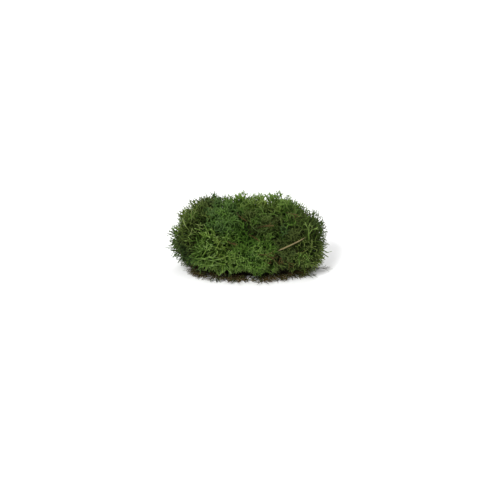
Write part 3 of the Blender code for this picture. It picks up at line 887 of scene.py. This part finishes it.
def stand_single(single, models):
    """One of the sprigs that stand out, from its root to its crown."""
    model = models[single.kind][single.number]
    root = seen_on_outline(*single.root, -single.depth)
    crown = seen_on_outline(*single.crown, single.proud)
    size = (crown - root).length / model.length
    places = bent_and_spun(model, size, 1 / size, SINGLE_BEND, math.radians(single.spin))
    places = aimed(places, crown - root) + np.array(root)
    return copy_sprig(model, places, single.tint, 1.0, single.paleness)


def dress_heads(models, core, paints):
    """Layers of sprigs over the whole clump, one tuft in place of each head's solid."""
    draw = random.Random("sprigs")
    tufts = [[] for _ in HEADS]
    for single in SINGLES:
        number = next(number for number, head in enumerate(HEADS) if head.node == single.node)
        tufts[number].append(stand_single(single, models))
    for layer in LAYERS:
        for number, crown, normal in crowns_of(layer, draw):
            sprig = grow_sprig(number, crown, normal, layer, models, core, draw)
            if sprig:
                tufts[number].append(sprig)
    for head, sprigs in zip(HEADS, tufts):
        tuft = joined(sprigs, head.node.replace("head", "tuft"), paints[head.slot])
        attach(tuft, "root")
        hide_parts(head.node)


def map_dome(mesh):
    """Gives the dome a tint that changes along it, and makes it paler upwards and to its sides."""
    tint, drift = DOME_TINTS
    foot, upwards, sideways = DOME_HEIGHTS
    layer = mesh.uv_layers[0]
    layer.name = TINT_MAP
    for loop, corner in zip(mesh.loops, layer.uv):
        place = mesh.vertices[loop.vertex_index].co
        corner.vector = (tint + place.x * drift, foot + place.z * upwards + abs(place.y) * sideways)


def lay_stem(step, models, draw):
    """One forked dead stem, lying out from the dome's foot and pressed flat into the mat's layer."""
    low, high = MAT_LAYER
    along, across = MAT_STRAY
    model = draw.choice(models[DEAD])
    angle = math.tau * (step + draw.random()) / MAT_STEMS
    start = draw.uniform(*MAT_STARTS)
    around = Vector((MAT_HALF_WIDTH * math.cos(angle), MAT_HALF_DEPTH * math.sin(angle), 0))
    root = np.array(MAT_PLACE + around * start)
    way = Vector((around.x * MAT_FAN, around.y, 0)).normalized()
    way = (way + Vector((draw.uniform(-along, along), draw.uniform(-across, across), 0))).normalized()
    spin = draw.uniform(0, math.tau)
    size = draw.uniform(*MAT_STEM_SIZES)
    places = aimed(bent_and_spun(model, size, 1.0, draw.uniform(-SPRIG_BEND, SPRIG_BEND), spin), way)
    flat = (places[:, 2] - places[:, 2].min()) / np.ptp(places[:, 2])
    floor = low + draw.random() ** 2 * (high - low) * MAT_LIFT
    places[:, :2] += root[:2]
    places[:, 2] = floor + flat * (high - floor)
    return copy_sprig(model, places, draw.uniform(*MAT_TINTS), draw.uniform(*MAT_GAINS))


def model_mat(models):
    """A low dome of packed dead stems, with forked stems lying out from its foot all round."""
    draw = random.Random("dead stem mat")
    deselect()
    bpy.ops.mesh.primitive_uv_sphere_add(segments=MAT_SEGMENTS, ring_count=MAT_SEGMENTS // 2, radius=1)
    dome = bpy.context.object
    dome.location = MAT_PLACE
    dome.scale = (MAT_HALF_WIDTH, MAT_HALF_DEPTH, MAT_HEIGHT)
    bpy.ops.object.transform_apply()
    open_faces()
    bpy.ops.mesh.select_all(action="SELECT")
    bpy.ops.mesh.bisect(plane_co=(0, 0, 0), plane_no=(0, 0, 1), clear_inner=True, use_fill=True)
    bpy.ops.object.mode_set(mode="OBJECT")
    map_dome(dome.data)
    stems = [lay_stem(step, models, draw) for step in range(MAT_STEMS)]
    mat = joined([dome] + stems, "dead_stem_tangle", dead_stem_paint())
    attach(mat, "root")
    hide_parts("dead_stem_mat")


def needle_size(share):
    """The needle's radius this share of the way along it: it tapers to both ends."""
    (low, low_rise), (high, high_rise) = NEEDLE_TAPERS
    return NEEDLE_RADIUS * min(1.0, low + low_rise * share, high_rise * (1 - share) + high)


def model_needle():
    """A dry needle, flattened, and drawn out section by section along its sagging line."""
    deselect()
    radius = NEEDLE_RADIUS * NEEDLE_TIP
    way = (needle_point(0.01) - needle_point(0)).normalized()
    bpy.ops.mesh.primitive_circle_add(
        vertices=NEEDLE_SIDES, radius=radius, fill_type="NGON", location=NEEDLE_LOW_END,
        rotation=(-way).to_track_quat("Z", "Y").to_euler(),
    )
    needle = bpy.context.object
    bpy.ops.object.transform_apply()
    open_faces()
    bpy.ops.mesh.select_all(action="SELECT")
    bpy.ops.transform.resize(value=(1, NEEDLE_FLATNESS, 1), center_override=NEEDLE_LOW_END)
    for step in range(1, NEEDLE_SECTIONS + 1):
        share = step / NEEDLE_SECTIONS
        start, end = needle_point((step - 1) / NEEDLE_SECTIONS), needle_point(share)
        size = needle_size(share)
        bpy.ops.mesh.extrude_region_move(TRANSFORM_OT_translate={"value": end - start})
        bpy.ops.transform.resize(value=[size / radius] * 3, center_override=end)
        radius = size
    bpy.ops.mesh.select_all(action="SELECT")
    bpy.ops.mesh.normals_make_consistent(inside=False)
    bpy.ops.object.mode_set(mode="OBJECT")
    bpy.ops.object.shade_smooth()
    map_needle(needle.data)
    needle.name = needle.data.name = "dry_pine_needle"
    needle.data.materials.append(needle_paint())
    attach(needle, "root")
    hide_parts("pine_needle")


def map_needle(mesh):
    """Maps each corner by its share of the way along the needle, and by its height off the needle's line."""
    along = NEEDLE_HIGH_END - NEEDLE_LOW_END
    (middle, half_width), (start, length) = NEEDLE_MAP
    layer = mesh.uv_layers[0]
    layer.name = TINT_MAP
    for face in mesh.polygons:
        for loop in face.loop_indices:
            place = mesh.vertices[mesh.loops[loop].vertex_index].co
            share = (place - NEEDLE_LOW_END).dot(along) / along.length_squared
            off = place - needle_point(min(max(share, 0), 1))
            layer.uv[loop].vector = (middle + half_width * off.z / NEEDLE_RADIUS, start + length * share)


def place_camera():
    """A camera that sees the origin at its pixel, at the photograph's scale."""
    lens = CAMERA_DISTANCE * PIXELS_A_METRE * SENSOR / PICTURE_SIDE
    right = Vector((1, 0, 0))
    middle = PICTURE_SIDE / 2
    target = (right * (middle - ORIGIN_PIXEL[0]) + SIGHT_UP * (ORIGIN_PIXEL[1] - middle)) / PIXELS_A_METRE
    data = bpy.data.cameras.new("camera")
    data.sensor_width = SENSOR
    data.lens = lens
    camera = bpy.data.objects.new("camera", data)
    turned = Matrix((right, SIGHT_UP, SIGHT)).transposed().to_4x4()
    camera.matrix_world = Matrix.Translation(target + SIGHT * CAMERA_DISTANCE) @ turned
    bpy.context.scene.collection.objects.link(camera)
    bpy.context.scene.camera = camera


def place_light(name, place, size, power):
    """A square light that points at the clump."""
    data = bpy.data.lights.new(name, "AREA")
    data.size = size
    data.energy = power
    lamp = bpy.data.objects.new(name, data)
    lamp.location = place
    lamp.rotation_euler = (LIT_PLACE - Vector(place)).to_track_quat("-Z", "Y").to_euler()
    bpy.context.scene.collection.objects.link(lamp)


def place_studio():
    """A plain pale floor and soft light from the upper left, under a pale sky."""
    deselect()
    bpy.ops.mesh.primitive_plane_add(size=FLOOR_SIZE)
    floor = bpy.context.object
    floor.name = "floor"
    paint = Paint("pale_floor", roughness=0.9, specular_ior_level=0.1)
    floor.data.materials.append(paint.cover(base_color=linear(FLOOR_COLOUR)))
    world = bpy.data.worlds.new("pale_sky")
    world.use_nodes = True
    sky = world.node_tree.nodes["Background"]
    sky.inputs["Color"].default_value = (1, 1, 1, 1)
    sky.inputs["Strength"].default_value = SKY_STRENGTH
    bpy.context.scene.world = world
    bpy.context.scene.view_settings.view_transform = "Standard"
    for light in LIGHTS:
        place_light(*light)


def main():
    place_camera()
    place_studio()
    paints = {slot: lichen_paint(slot, *finishes) for slot, finishes in SLOT_FINISHES.items()}
    models = {kind: [model_of(model_sprig(kind, number)) for number in range(kind.models)] for kind in KINDS}
    core = model_core()
    dress_heads(models, BVHTree.FromObject(core, bpy.context.evaluated_depsgraph_get()), paints)
    model_mat(models)
    model_needle()


main()
